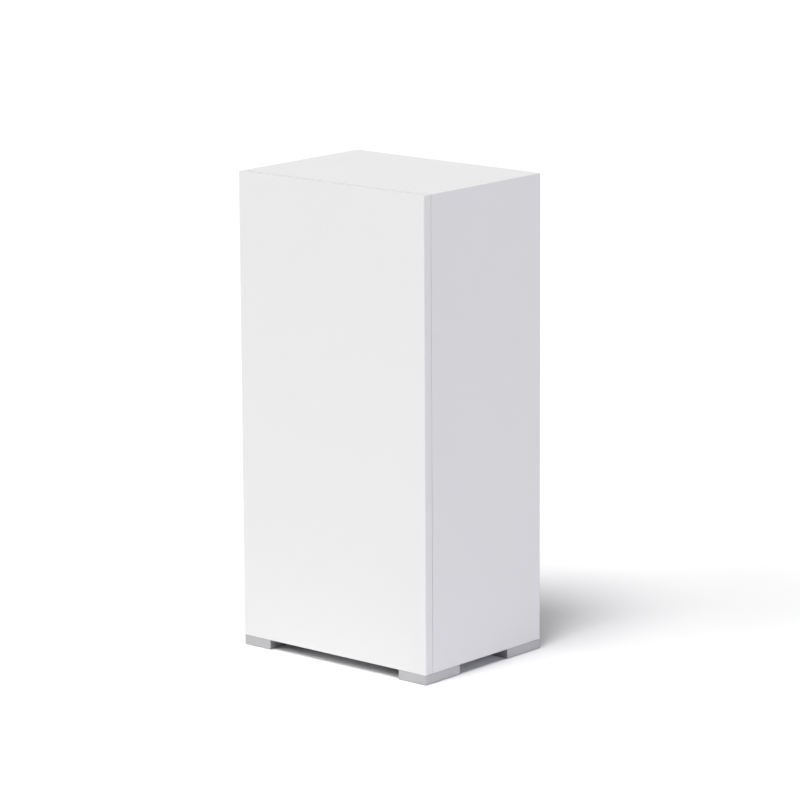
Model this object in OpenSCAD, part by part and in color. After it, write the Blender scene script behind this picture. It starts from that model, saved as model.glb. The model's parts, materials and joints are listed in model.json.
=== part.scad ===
// Mesh wifi node: an upright rectangular block that stands on four low corner feet.
// Millimetres, +Z up, front towards -Y. The origin is under the middle of the block,
// on the surface that it stands on.

/* [Body] */
// Width of the body, left to right
body_w = 80.5; // [80:0.5:86]
// Depth of the body, front to back
body_d = 59.5; // [59:0.5:62]
// Height from the surface to the top face
total_h = 162; // [161:1:175]
// Radius of the upright corner edges
corner_r = 0.5; // [0.4:0.1:1.4]
// Thickness of the side, back and top walls
wall_t = 2.2; // [2:0.1:2.4]

/* [Front cover] */
// Thickness of the front panel
front_t = 2.0; // [1.8:0.1:2.4]
// How far the cover wraps round each side
lip_d = 3.5; // [3:0.1:5]
// Seam between the cover's lips and the housing
side_seam = 0.2; // [0.1:0.05:0.4]
// Seam between the cover's top edge and the housing's top
top_seam = 0.5; // [0.1:0.05:0.6]

/* [Feet] */
// Height of a foot, and so of the gap under the body
foot_h = 3.4; // [3:0.1:3.8]
// Width of a foot
foot_w = 11.8; // [11:0.1:13]
// Depth of a foot
foot_d = 17.5; // [15:0.5:18]
// How far each rubber pad stands out of its foot
pad_proud = 0.1; // [0.1:0.1:0.4]

/* [Rear sockets] */
// Sideways places of the two network sockets
jack_x = [9.5, -8.5];
// Sideways place of the power socket
power_x = 26; // [25:0.5:26]
// Sideways place of the power switch
switch_x = -26; // [-26:0.5:-25]
// Depth of the recess round the sockets and round the button
recess = 0.8; // [0.5:0.1:0.9]

/* [Controls] */
// Height of the row with button, light and reset hole
control_z = 38; // [37:0.5:40]
// Radius of the sync button
button_r = 4; // [3.5:0.1:4.5]
// Travel of the sync button
button_travel = 0.5; // [0.3:0.1:0.6]
// Travel of the reset switch
reset_travel = 0.3; // [0.2:0.1:0.4]
// Full throw of the power rocker, in degrees
rocker_throw = 16; // [12:1:18]

/* [Vents] */
// Rows of slots in the back
vent_rows = 16; // [8:1:17]
// Height of one vent slot
vent_slot_h = 1.8; // [1.4:0.1:2.4]
// Length of one vent slot in the back
vent_slot_w = 26; // [20:1:28]
// Distance from row to row
vent_pitch = 5; // [4:0.5:5]

/* [Hidden] */
$fn = 48;

// Outer faces of the body
half_w = body_w / 2;
half_d = body_d / 2;
front_y = -half_d;
back_y = half_d;
top_z = total_h;

// Faces of the cavity inside the walls
in_w = half_w - wall_t;
in_front_y = front_y + front_t;
in_back_y = back_y - wall_t;
in_top_z = top_z - wall_t;

// Base plate, flush with the lower edge of the walls, with its row of slots and its blank label
base_t = 2;
base_top = foot_h + base_t;
base_gap = 0.15;
base_slot_w = 30;
base_slot_rows = 6;
base_slot_y = -3;
base_slot_pitch = 4;
label_half_w = 17;
label_y = [-25, -9];
label_t = 0.15;

// Slots in the back: height of the lowest row, and distance of each column from the middle
vent_low_z = 66;
vent_x = 16;

// Feet and their screws
pad_r = 4;
pad_t = 1;
foot_x = half_w - foot_w / 2;
foot_y = half_d - foot_d / 2;
m3_r = 1.45;
m3_hole_r = 1.5;
m3_clear_r = 1.7;
m3_head_r = 2.75;
m3_head_h = 1.5;
m2_r = 0.95;
m2_hole_r = 1;
m2_clear_r = 1.2;
m2_head_r = 1.8;
m2_head_h = 1.2;
post_r = 3;
base_post_top = 18;

// Front cover clips
clip_z = [30, 85, 140];
clip_h = 10;
clip_t = 1.6;
clip_gap = 0.3;
clip_len = 9.5;
barb = 1;
barb_len = 2.5;

// Main board, upright and parallel to the front
board_t = 1.6;
board_front = 0.4;
board_back = board_front + board_t;
board_half_w = 28;
board_z = [30, 150];
tongue_half_w = 18;
tongue_z = 13;
board_screw_x = 24;
board_screw_z = [35, 147];

// Frame that carries the main board and the antennas
frame_half_w = 36.5;
frame_z = [27, 155];
frame_t = 3;
frame_front = board_front - frame_t;
frame_open_half_w = 25;
frame_open_z = [39, 143];
rim_front = -8;
rim_t = 1.5;
frame_screw_x = 31.5;
frame_screw_z = [33, 150];

// Chips and heatsinks
processor_side = 21;
processor_t = 1.4;
processor_z = 100;
memory_x = 9.5;
memory_w = 9;
memory_t = 1;
memory_z = [72, 85];
flash_w = 8;
flash_t = 0.9;
flash_z = [56, 62];
radio_side = 12;
radio_t = 1;
pad_thick = 0.5;
sink_half_w = 24;
sink_base = 2.5;
fin_t = 1.2;
fin_count = 9;
front_sink_back = board_front - processor_t - pad_thick;
front_sink_z = [46, 136];
front_sink_front = -20;
shield_t = 2;
rear_sink_front = board_back + shield_t + pad_thick;
rear_sink_z = [58, 138];
rear_sink_back = 17;
sink_screw_x = 20.5;
sink_screw_z = [64, 130];
radio_z = [84, 112];
shield_half_w = 17;
shield_half_h = 11;

// Antennas and their leads
antenna_t = 0.8;
antenna_len = 40;
antenna_mid_z = [62, 122];
coax_d = 1.4;
coax_plug_x = 18;
coax_plug_r = 1.2;
coax_plug_h = 2.6;
coax_plug_z = [42.5, 139.5];

// Route of one lead on the right, from the antenna's front edge to its plug.
// The lower one is the upper one, turned upside down about the middle of the board.
COAX_ROUTE = [
  [36.9, -8.4, 117], [36.4, -9.8, 117.6], [33.6, -9.8, 121], [30, -8.4, 127],
  [26.6, -6.2, 134], [24, -3.4, 138.4], [20.7, -1.7, 139.5], [19.4, -1.7, 139.5]
];

// Board with the sockets, flat above the base
io_top = 11;
io_t = 1.6;
io_half_w = 31;
io_y = [-10, 26.5];
io_screws = [[-27, -6], [27, -6], [-19, 23], [19.5, 23]];
connector_y = 1.2;
connector_half_w = 21;
connector_half_d = 3;
connector_h = 8;
transformer_x = 26;
transformer_w = 9;
transformer_h = 5.5;
transformer_y = [0, 6.5];
capacitor_x = [-20, -11, 20];
capacitor_y = -5.6;
capacitor_r = 3.5;
capacitor_h = 11;
inductor_x = [-1, 9];
inductor_w = 7;
inductor_h = 4;
inductor_y = [-9, -2.5];

// Network sockets
jack_face = back_y - 0.3;
jack_w = 16;
jack_h = 13.4;
jack_d = 21.3;
jack_skin = 0.4;
plug_w = 11.9;
plug_z = [14.9, 21.9];
plug_depth = 15;
latch_w = 6.2;
latch_z = 13.4;
latch_tip_w = 3.6;
latch_tip_z = 12.3;
contact_pitch = 1.02;
contact_w = 0.4;

// Power socket: a flat reversible one with round ends and a tongue in the middle
power_w = 8.94;
power_h = 3.26;
power_d = 7.4;
power_skin = 0.3;
power_z = io_top + power_h / 2;
power_face = back_y - recess - 0.1;
tongue_w = 6.7;
tongue_t = 0.7;
tongue_back = 1;

// Power switch, with its rocker turning about a left to right axis
switch_w = 8.9;
switch_h = 13.6;
switch_z = io_top + switch_h / 2;
switch_back = 17;
bezel_w = 10.5;
bezel_h = 15.2;
bezel_t = 0.7;
pivot_y = back_y - 3.45;
rocker_r = 6.2;
rocker_half_w = 3.5;
rocker_gap = 0.3;
rocker_dip = 1.6;
rocker_under = 1.5;
trunnion_r = 1;
trunnion_len = 0.8;

// Socket recess in the back
io_recess_half_w = 33;
io_recess_z = [9.2, 26.4];
window_gap = 0.2;

// Small board behind the button
reset_x = -12;
light_x = 12;
control_recess_r = 6.5;
button_board_y = [16.8, 18];
button_board_x = [-21, 21];
button_board_half_h = 7;
button_board_screw_x = 18.2;
button_post_r = 2.4;
reset_tube_r = 2.2;
tact_side = 6;
tact_t = 3.5;
plunger_r = 1.7;
plunger_gap = 0.05;
plunger_top = 23;
plunger_foot = 19;
button_hole_gap = 0.3;
button_face = back_y - 0.2;
flange_r = 5.4;
flange_t = 0.8;
stem_r = 1.6;
reset_hole_r = 1;
light_r = 1.5;

// Basic shapes --------------------------------------------------------------

// Box between two limits on each axis
module block(x, y, z) {
  translate([x[0], y[0], z[0]])
    cube([x[1] - x[0], y[1] - y[0], z[1] - z[0]]);
}

// Round bars along each axis, between two limits
module rod_x(r, x, y, z) {
  translate([x[0], y, z]) rotate([0, 90, 0]) cylinder(r = r, h = x[1] - x[0]);
}

module rod_y(r, x, y, z) {
  translate([x, y[0], z]) rotate([-90, 0, 0]) cylinder(r = r, h = y[1] - y[0]);
}

module rod_z(r, x, y, z) {
  translate([x, y, z[0]]) cylinder(r = r, h = z[1] - z[0]);
}

// Rectangle with round corners, centred
module rounded_rect(w, d, r) {
  square([w - 2 * r, d], center = true);
  square([w, d - 2 * r], center = true);
  for (x = [-1, 1], y = [-1, 1])
    translate([x * (w / 2 - r), y * (d / 2 - r)]) circle(r = r);
}

// Upright plate with round corners that faces +Y
module rear_plate(x, z, y, r) {
  translate([(x[0] + x[1]) / 2, y[1], (z[0] + z[1]) / 2])
    rotate([90, 0, 0])
      linear_extrude(y[1] - y[0])
        rounded_rect(x[1] - x[0], z[1] - z[0], r);
}

// Pan head screw with a cross recess: head below z = 0, shank above it
module screw(r, len, head_r, head_h) {
  slot_w = head_r * 0.28;
  slot_l = head_r * 1.2;
  difference() {
    union() {
      translate([0, 0, -head_h]) cylinder(r = head_r, h = head_h);
      cylinder(r = r, h = len);
    }
    for (turn = [0, 90])
      rotate([0, 0, turn])
        translate([-slot_l / 2, -slot_w / 2, -head_h - 0.01])
          cube([slot_l, slot_w, head_h * 0.6]);
  }
}

// The same screw, driven towards +Y
module screw_y(r, len, head_r, head_h) {
  rotate([-90, 0, 0]) screw(r, len, head_r, head_h);
}

// Casing --------------------------------------------------------------------

// Outer form of the casing, between two heights
module envelope(z) {
  translate([0, 0, z[0]])
    linear_extrude(z[1] - z[0])
      rounded_rect(body_w, body_d, corner_r);
}

// Moves a shape to the left side when side is -1
module on_side(side) {
  mirror([side < 0 ? 1 : 0, 0, 0]) children();
}

module front_cover() color("whitesmoke") {
  intersection() {
    envelope([foot_h, top_z]);
    union() {
      block([-half_w, half_w], [front_y, in_front_y], [foot_h, top_z]);
      for (s = [-1, 1])
        on_side(s) block([in_w, half_w], [front_y, front_y + lip_d], [foot_h, top_z]);
    }
  }
  for (s = [-1, 1], z = clip_z) on_side(s) cover_clip(z);
}

// One snap hook on the right of the front panel
module cover_clip(z) {
  outer = in_w - clip_gap;
  tip = in_front_y + clip_len;
  block([outer - clip_t, outer], [in_front_y - 0.1, tip], [z - clip_h / 2, z + clip_h / 2]);
  block([outer - 0.1, outer + barb], [tip - barb_len, tip], [z - clip_h / 2, z + clip_h / 2]);
}

module rear_housing() color("white") {
  side_front = front_y + lip_d + side_seam;
  top_front = in_front_y + top_seam;
  difference() {
    union() {
      intersection() {
        envelope([foot_h, top_z]);
        difference() {
          union() {
            block([-half_w, half_w], [side_front, back_y], [foot_h, top_z]);
            block([-in_w + side_seam, in_w - side_seam], [top_front, back_y], [in_top_z, top_z]);
          }
          block([-in_w, in_w], [front_y - 1, in_back_y], [foot_h - 1, in_top_z]);
        }
      }
      housing_posts();
    }
    clip_pockets();
    socket_cutouts();
    control_cutouts();
    back_vents();
    post_bores();
  }
}

// Pockets in the side walls for the barbs of the cover's hooks
module clip_pockets() {
  tip = in_front_y + clip_len;
  for (s = [-1, 1], z = clip_z)
    on_side(s)
      block([in_w - 1, in_w + barb], [tip - barb_len - clip_gap, tip + clip_gap],
            [z - clip_h / 2 - clip_gap, z + clip_h / 2 + clip_gap]);
}

// Posts for the inner frame, the feet and the button board, with ribs to the walls
module housing_posts() {
  for (s = [-1, 1]) on_side(s) {
    for (z = frame_screw_z) {
      rod_y(post_r, frame_screw_x, [board_front, in_back_y + 0.1], z);
      block([frame_screw_x + 1, in_w + 0.1], [board_front + 4, in_back_y + 0.1], [z - 0.75, z + 0.75]);
    }
    for (f = [-1, 1]) {
      rod_z(post_r, foot_x, f * foot_y, [base_top, base_post_top]);
      block([foot_x, in_w + 0.1], [f * foot_y - 1, f * foot_y + 1], [base_top, base_post_top]);
    }
    rod_y(button_post_r, button_board_screw_x, [button_board_y[1], in_back_y + 0.1], control_z);
  }
  rod_y(reset_tube_r, reset_x, [plunger_top + 1, in_back_y + 0.1], control_z);
}

// Screw holes in those posts
module post_bores() {
  for (s = [-1, 1]) on_side(s) {
    for (z = frame_screw_z) rod_y(m3_hole_r, frame_screw_x, [board_front - 1, board_front + 10], z);
    for (f = [-1, 1]) rod_z(m3_hole_r, foot_x, f * foot_y, [base_top - 1, base_post_top - 2]);
    rod_y(m2_hole_r, button_board_screw_x, [button_board_y[1] - 1, button_board_y[1] + 6], control_z);
  }
}

// Recess and windows for the sockets and the switch
module socket_cutouts() {
  rear_plate([-io_recess_half_w, io_recess_half_w], io_recess_z, [back_y - recess, back_y + 1], 1.5);
  for (x = jack_x)
    rear_plate([x - jack_w / 2 - window_gap, x + jack_w / 2 + window_gap],
               [io_top - window_gap, io_top + jack_h + window_gap], [in_back_y - 1, back_y + 1], 0.3);
  power_slot(window_gap, [in_back_y - 1, back_y + 1]);
  rear_plate([switch_x - switch_w / 2 - window_gap, switch_x + switch_w / 2 + window_gap],
             [switch_z - switch_h / 2 - window_gap, switch_z + switch_h / 2 + window_gap],
             [in_back_y - 1, back_y + 1], 0.3);
}

// Recess and holes for the button, the light and the reset pin
module control_cutouts() {
  rear_plate([reset_x - control_recess_r, light_x + control_recess_r],
             [control_z - control_recess_r, control_z + control_recess_r],
             [back_y - recess, back_y + 1], control_recess_r - 0.1);
  rod_y(button_r + button_hole_gap, 0, [in_back_y - 1, back_y], control_z);
  rod_y(light_r, light_x, [in_back_y - 1, back_y], control_z);
  rod_y(reset_hole_r, reset_x, [plunger_top, back_y], control_z);
}

module back_vents() {
  for (i = [0 : vent_rows - 1], s = [-1, 1]) {
    z = vent_low_z + i * vent_pitch;
    rear_plate([s * vent_x - vent_slot_w / 2, s * vent_x + vent_slot_w / 2],
               [z - vent_slot_h / 2, z + vent_slot_h / 2],
               [in_back_y - 1, back_y + 1], vent_slot_h / 2 - 0.01);
  }
}

// Base ----------------------------------------------------------------------

module base_plate() color("silver") {
  plate_half_w = in_w - base_gap;
  difference() {
    union() {
      block([-plate_half_w, plate_half_w], [in_front_y + base_gap, in_back_y - base_gap], [foot_h, base_top]);
      for (p = io_screws) rod_z(2.5, p[0], p[1], [base_top - 0.1, io_top - io_t]);
    }
    for (p = io_screws) rod_z(m2_hole_r, p[0], p[1], [base_top - 0.6, io_top]);
    for (sx = [-1, 1], sy = [-1, 1]) rod_z(m3_clear_r, sx * foot_x, sy * foot_y, [foot_h - 1, base_top + 1]);
    for (i = [0 : base_slot_rows - 1])
      translate([0, base_slot_y + base_slot_pitch * i, foot_h - 1])
        linear_extrude(base_t + 2)
          rounded_rect(base_slot_w, vent_slot_h, vent_slot_h / 2 - 0.01);
  }
}

// One foot, flush with the two outer faces at its corner
module foot(sx, sy) color("silver") {
  difference() {
    intersection() {
      translate([0, 0, pad_proud])
        linear_extrude(foot_h - pad_proud)
          rounded_rect(body_w, body_d, corner_r);
      translate([sx * foot_x, sy * foot_y, 0])
        linear_extrude(foot_h)
          square([foot_w, foot_d], center = true);
    }
    rod_z(pad_r, sx * foot_x, sy * foot_y, [-1, pad_t]);
    rod_z(m3_head_r + 0.15, sx * foot_x, sy * foot_y, [0, pad_t + m3_head_h + 0.1]);
    rod_z(m3_clear_r, sx * foot_x, sy * foot_y, [0, foot_h + 1]);
  }
}

module foot_pads() color("dimgray") {
  for (sx = [-1, 1], sy = [-1, 1]) rod_z(pad_r - 0.05, sx * foot_x, sy * foot_y, [0, pad_t]);
}

module foot_screws() color("gainsboro") {
  for (sx = [-1, 1], sy = [-1, 1])
    translate([sx * foot_x, sy * foot_y, pad_t + m3_head_h + 0.1])
      screw(m3_r, 12, m3_head_r, m3_head_h);
}

module blank_label() color("white") {
  block([-label_half_w, label_half_w], label_y, [foot_h - label_t, foot_h]);
}

// Frame and main board ------------------------------------------------------

module inner_frame() color("dimgray") {
  difference() {
    union() {
      block([-frame_half_w, frame_half_w], [frame_front, board_front], frame_z);
      block([-frame_half_w, frame_half_w], [rim_front, board_front], frame_z);
    }
    block([-frame_half_w + rim_t, frame_half_w - rim_t], [rim_front - 1, frame_front],
          [frame_z[0] + rim_t, frame_z[1] - rim_t]);
    block([-frame_open_half_w, frame_open_half_w], [frame_front - 1, board_front + 1], frame_open_z);
    for (s = [-1, 1], z = frame_screw_z) rod_y(m3_clear_r, s * frame_screw_x, [frame_front - 1, board_front + 1], z);
    for (s = [-1, 1], z = board_screw_z) rod_y(m2_hole_r, s * board_screw_x, [frame_front - 1, board_front + 1], z);
  }
}

module frame_screws() color("gainsboro") {
  for (s = [-1, 1], z = frame_screw_z)
    translate([s * frame_screw_x, frame_front, z]) screw_y(m3_r, 11, m3_head_r, m3_head_h);
}

module main_board() color("darkgreen") {
  difference() {
    union() {
      block([-board_half_w, board_half_w], [board_front, board_back], board_z);
      block([-tongue_half_w, tongue_half_w], [board_front, board_back], [tongue_z, board_z[0] + 1]);
    }
    for (s = [-1, 1], z = board_screw_z)
      rod_y(m2_clear_r, s * board_screw_x, [board_front - 1, board_back + 1], z);
    for (s = [-1, 1], z = sink_screw_z)
      rod_y(m2_clear_r, s * sink_screw_x, [board_front - 1, board_back + 1], z);
  }
}

// Screws that hold the main board to the frame, driven from behind
module board_screws() color("gainsboro") {
  for (s = [-1, 1], z = board_screw_z)
    translate([s * board_screw_x, board_back, z])
      rotate([90, 0, 0]) screw(m2_r, 4.4, m2_head_r, m2_head_h);
}

module processor() color("black") {
  h = processor_side / 2;
  block([-h, h], [board_front - processor_t, board_front], [processor_z - h, processor_z + h]);
}

module memory_chips() color("black") {
  h = memory_w / 2;
  for (s = [-1, 1])
    block([s * memory_x - h, s * memory_x + h], [board_front - memory_t, board_front], memory_z);
}

module flash_chip() color("black") {
  block([-flash_w / 2, flash_w / 2], [board_front - flash_t, board_front], flash_z);
}

// Gap pads between the chips and the heatsinks
module thermal_pads() color("lightblue") {
  h = processor_side / 2 - 0.5;
  block([-h, h], [front_sink_back, front_sink_back + pad_thick], [processor_z - h, processor_z + h]);
  for (z = radio_z)
    block([-shield_half_w + 2, shield_half_w - 2], [rear_sink_front - pad_thick, rear_sink_front],
          [z - shield_half_h + 2, z + shield_half_h - 2]);
}

module radio_chips() color("black") {
  h = radio_side / 2;
  for (z = radio_z) block([-h, h], [board_back, board_back + radio_t], [z - h, z + h]);
}

// Sheet metal can over one radio
module radio_shield(z) color("lightgray") {
  skin = 0.3;
  difference() {
    block([-shield_half_w, shield_half_w], [board_back, board_back + shield_t],
          [z - shield_half_h, z + shield_half_h]);
    block([-shield_half_w + skin, shield_half_w - skin], [board_back - 1, board_back + shield_t - skin],
          [z - shield_half_h + skin, z + shield_half_h - skin]);
  }
}

// Upright fins, spread evenly over the width of a heatsink
module fins(y, z) {
  step = (2 * sink_half_w - fin_t) / (fin_count - 1);
  for (i = [0 : fin_count - 1]) {
    x = -sink_half_w + i * step;
    block([x, x + fin_t], y, z);
  }
}

module heatsink_front() color("silver") {
  base_front = front_sink_back - sink_base;
  difference() {
    union() {
      block([-sink_half_w, sink_half_w], [base_front, front_sink_back], front_sink_z);
      fins([front_sink_front, base_front + 0.1], front_sink_z);
    }
    for (s = [-1, 1], z = sink_screw_z) {
      rod_y(m2_clear_r, s * sink_screw_x, [base_front - 1, front_sink_back + 1], z);
      rod_y(m2_head_r + 1, s * sink_screw_x, [front_sink_front - 1, base_front], z);
    }
  }
}

module heatsink_rear() color("silver") {
  base_back = rear_sink_front + sink_base;
  difference() {
    union() {
      block([-sink_half_w, sink_half_w], [rear_sink_front, base_back], rear_sink_z);
      fins([base_back - 0.1, rear_sink_back], rear_sink_z);
    }
    for (s = [-1, 1], z = sink_screw_z)
      rod_y(m2_hole_r, s * sink_screw_x, [rear_sink_front - 1, base_back + 1], z);
  }
}

// Screws that draw the two heatsinks together through the board
module heatsink_screws() color("gainsboro") {
  base_front = front_sink_back - sink_base;
  for (s = [-1, 1], z = sink_screw_z)
    translate([s * sink_screw_x, base_front, z])
      screw_y(m2_r, rear_sink_front + 2 - base_front, m2_head_r, m2_head_h);
}

// Antennas ------------------------------------------------------------------

// Printed antenna on the outside of the frame's rim, on the side and at the height given
module antenna(side, level) color("olivedrab") {
  mid = antenna_mid_z[level];
  x = [frame_half_w, frame_half_w + antenna_t];
  on_side(side)
    block(x, [rim_front, board_front], [mid - antenna_len / 2, mid + antenna_len / 2]);
}

function catmull(a, b, c, d, t) =
  0.5 * (2 * b + (c - a) * t + (2 * a - 5 * b + 4 * c - d) * t * t + (3 * b - a - 3 * c + d) * t * t * t);

function smooth_route(p, n) = concat(
  [for (i = [0 : len(p) - 2], k = [0 : n - 1])
     catmull(p[max(i - 1, 0)], p[i], p[i + 1], p[min(i + 2, len(p) - 1)], k / n)],
  [p[len(p) - 1]]);

function heading(p, i) =
  let (v = p[min(i + 1, len(p) - 1)] - p[max(i - 1, 0)]) v / norm(v);

function ring(p, i, r, sides) =
  let (t = heading(p, i),
       u0 = cross(t, [0.2, 1, 0.3]),
       u = u0 / norm(u0),
       v = cross(t, u))
  [for (k = [0 : sides - 1]) p[i] + r * (cos(360 * k / sides) * u + sin(360 * k / sides) * v)];

// Round cable of diameter d along a list of points
module cable(p, d) {
  sides = 8;
  n = len(p);
  pts = [for (i = [0 : n - 1]) each ring(p, i, d / 2, sides)];
  skin = [for (i = [0 : n - 2], k = [0 : sides - 1])
    let (a = i * sides + k, b = i * sides + (k + 1) % sides)
    [a, b, b + sides, a + sides]];
  first_cap = [for (k = [sides - 1 : -1 : 0]) k];
  last_cap = [for (k = [0 : sides - 1]) (n - 1) * sides + k];
  polyhedron(points = pts, faces = concat(skin, [first_cap, last_cap]), convexity = 4);
}

module coax(side, level) color("gray") {
  mid = (coax_plug_z[0] + coax_plug_z[1]) / 2;
  on_side(side)
    translate([0, 0, mid])
      mirror([0, 0, level == 0 ? 1 : 0])
        translate([0, 0, -mid])
          cable(smooth_route(COAX_ROUTE, 4), coax_d);
}

module coax_plugs() color("gold") {
  for (s = [-1, 1], z = coax_plug_z)
    rod_y(coax_plug_r, s * coax_plug_x, [board_front - coax_plug_h, board_front], z);
}

// Socket board --------------------------------------------------------------

module io_board() color("darkgreen") {
  difference() {
    block([-io_half_w, io_half_w], io_y, [io_top - io_t, io_top]);
    for (p = io_screws) rod_z(m2_clear_r, p[0], p[1], [io_top - io_t - 1, io_top + 1]);
  }
}

module io_board_screws() color("gainsboro") {
  for (p = io_screws)
    translate([p[0], p[1], io_top]) rotate([180, 0, 0]) screw(m2_r, 4.5, m2_head_r, m2_head_h);
}

// Slot that takes the lower edge of the main board
module board_connector() color("ivory") {
  slot_gap = 0.1;
  difference() {
    block([-connector_half_w, connector_half_w],
          [connector_y - connector_half_d, connector_y + connector_half_d], [io_top, io_top + connector_h]);
    block([-tongue_half_w - slot_gap, tongue_half_w + slot_gap],
          [board_front - slot_gap, board_back + slot_gap], [tongue_z - slot_gap, io_top + connector_h + 1]);
  }
}

module network_transformers() color("black") {
  h = transformer_w / 2;
  for (s = [-1, 1])
    block([s * transformer_x - h, s * transformer_x + h], transformer_y, [io_top, io_top + transformer_h]);
}

module capacitors() color("slateblue") {
  for (x = capacitor_x) rod_z(capacitor_r, x, capacitor_y, [io_top, io_top + capacitor_h]);
}

module inductors() color("darkgray") {
  h = inductor_w / 2;
  for (x = inductor_x) block([x - h, x + h], inductor_y, [io_top, io_top + inductor_h]);
}

// One shielded network socket: metal skin, plastic insert and spring contacts
module jack_shield(x) color("lightgray") {
  h = jack_w / 2;
  difference() {
    block([x - h, x + h], [jack_face - jack_d, jack_face], [io_top, io_top + jack_h]);
    block([x - h + jack_skin, x + h - jack_skin], [jack_face - jack_d + jack_skin, jack_face + 1],
          [io_top + jack_skin, io_top + jack_h - jack_skin]);
  }
}

module jack_insert(x) color("black") {
  h = jack_w / 2 - jack_skin;
  face = jack_face - 0.2;
  mouth = [jack_face - plug_depth, jack_face + 1];
  difference() {
    block([x - h, x + h], [jack_face - jack_d + jack_skin, face],
          [io_top + jack_skin, io_top + jack_h - jack_skin]);
    block([x - plug_w / 2, x + plug_w / 2], mouth, plug_z);
    block([x - latch_w / 2, x + latch_w / 2], mouth, [latch_z, plug_z[0] + 0.1]);
    block([x - latch_tip_w / 2, x + latch_tip_w / 2], mouth, [latch_tip_z, latch_z + 0.1]);
  }
}

module jack_contacts(x) color("gold") {
  start = jack_face - 3;
  tip = jack_face - 12.5;
  roof = plug_z[1];
  for (i = [-3.5 : 3.5])
    translate([x + i * contact_pitch - contact_w / 2, 0, 0])
      rotate([90, 0, 90])
        linear_extrude(contact_w)
          polygon([[start, roof], [start - 1.4, roof], [tip, roof - 1.85], [tip, roof - 2.2], [start, roof - 0.4]]);
}

// Upright slot shape with round ends, facing +Y
module power_slot(grow, y) {
  w = power_w / 2 + grow;
  h = power_h / 2 + grow;
  rear_plate([power_x - w, power_x + w], [power_z - h, power_z + h], y, h - 0.01);
}

module power_socket_shell() color("lightgray") {
  difference() {
    power_slot(0, [power_face - power_d, power_face]);
    power_slot(-power_skin, [power_face - power_d + power_skin, power_face + 1]);
  }
}

module power_socket_tongue() color("black") {
  back = power_face - power_d + power_skin;
  block([power_x - tongue_w / 2, power_x + tongue_w / 2], [back, power_face - tongue_back],
        [power_z - tongue_t / 2, power_z + tongue_t / 2]);
}

module power_switch_body() color("black") {
  cavity_half_h = rocker_r + rocker_gap;
  cavity_half_w = rocker_half_w + rocker_gap;
  floor_y = pivot_y - 3;
  pocket_y = back_y - recess;
  difference() {
    union() {
      block([switch_x - switch_w / 2, switch_x + switch_w / 2], [switch_back, pocket_y + 0.1],
            [switch_z - switch_h / 2, switch_z + switch_h / 2]);
      rear_plate([switch_x - bezel_w / 2, switch_x + bezel_w / 2],
                 [switch_z - bezel_h / 2, switch_z + bezel_h / 2], [pocket_y, pocket_y + bezel_t], 0.8);
    }
    block([switch_x - cavity_half_w, switch_x + cavity_half_w], [floor_y, back_y + 1],
          [switch_z - cavity_half_h, switch_z + cavity_half_h]);
    rod_x(trunnion_r + 0.05, [switch_x - rocker_half_w - trunnion_len, switch_x + rocker_half_w + trunnion_len],
          pivot_y, switch_z);
  }
}

// Rocker at its off stop: the upper end stands out and the lower half lies flat
module power_rocker() color("black") {
  half = rocker_throw / 2;
  rise = rocker_r * tan(half);
  translate([switch_x, pivot_y, switch_z])
    rotate([-half, 0, 0]) {
      rotate([90, 0, 90])
        translate([0, 0, -rocker_half_w])
          linear_extrude(2 * rocker_half_w)
            intersection() {
              circle(r = rocker_r);
              polygon([[-rocker_under, -rocker_r - 1], [rocker_dip + rise, -rocker_r], [rocker_dip, 0],
                       [rocker_dip + rise, rocker_r], [-rocker_under, rocker_r + 1]]);
            }
      rod_x(trunnion_r, [-rocker_half_w - trunnion_len + 0.1, rocker_half_w + trunnion_len - 0.1], 0, 0);
    }
}

// Button board --------------------------------------------------------------

module button_board() color("darkgreen") {
  difference() {
    block(button_board_x, button_board_y, [control_z - button_board_half_h, control_z + button_board_half_h]);
    for (s = [-1, 1])
      rod_y(m2_clear_r, s * button_board_screw_x, [button_board_y[0] - 1, button_board_y[1] + 1], control_z);
  }
}

module button_board_screws() color("gainsboro") {
  for (s = [-1, 1])
    translate([s * button_board_screw_x, button_board_y[0], control_z])
      screw_y(m2_r, 6, m2_head_r, m2_head_h);
}

// Body of one push switch, with the well that its plunger slides in
module tact_switch(x, travel) color("black") {
  h = tact_side / 2;
  well_floor = plunger_foot - travel - 0.1;
  difference() {
    block([x - h, x + h], [button_board_y[1], button_board_y[1] + tact_t], [control_z - h, control_z + h]);
    rod_y(plunger_r + plunger_gap, x, [well_floor, button_board_y[1] + tact_t + 1], control_z);
  }
}

module tact_plunger(x) color("gray") {
  rod_y(plunger_r, x, [plunger_foot, plunger_top], control_z);
}

// Round cap with a retaining flange and a stem that rests on the plunger
module sync_button() color("gainsboro") {
  flange_back = in_back_y - 0.3;
  rod_y(button_r, 0, [flange_back - flange_t, button_face], control_z);
  rod_y(flange_r, 0, [flange_back - flange_t, flange_back], control_z);
  rod_y(stem_r, 0, [plunger_top, flange_back], control_z);
}

module status_led() color("lightyellow") {
  block([light_x - 1.6, light_x + 1.6], [button_board_y[1], button_board_y[1] + 1.9],
        [control_z - 1.4, control_z + 1.4]);
}

// Clear rod from the light to the recess in the back
module light_pipe() color("lightcyan") {
  rod_y(light_r - 0.05, light_x, [button_board_y[1] + 2.1, back_y - recess], control_z);
  rod_y(light_r + 1, light_x, [in_back_y - 1, in_back_y], control_z);
}

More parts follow.
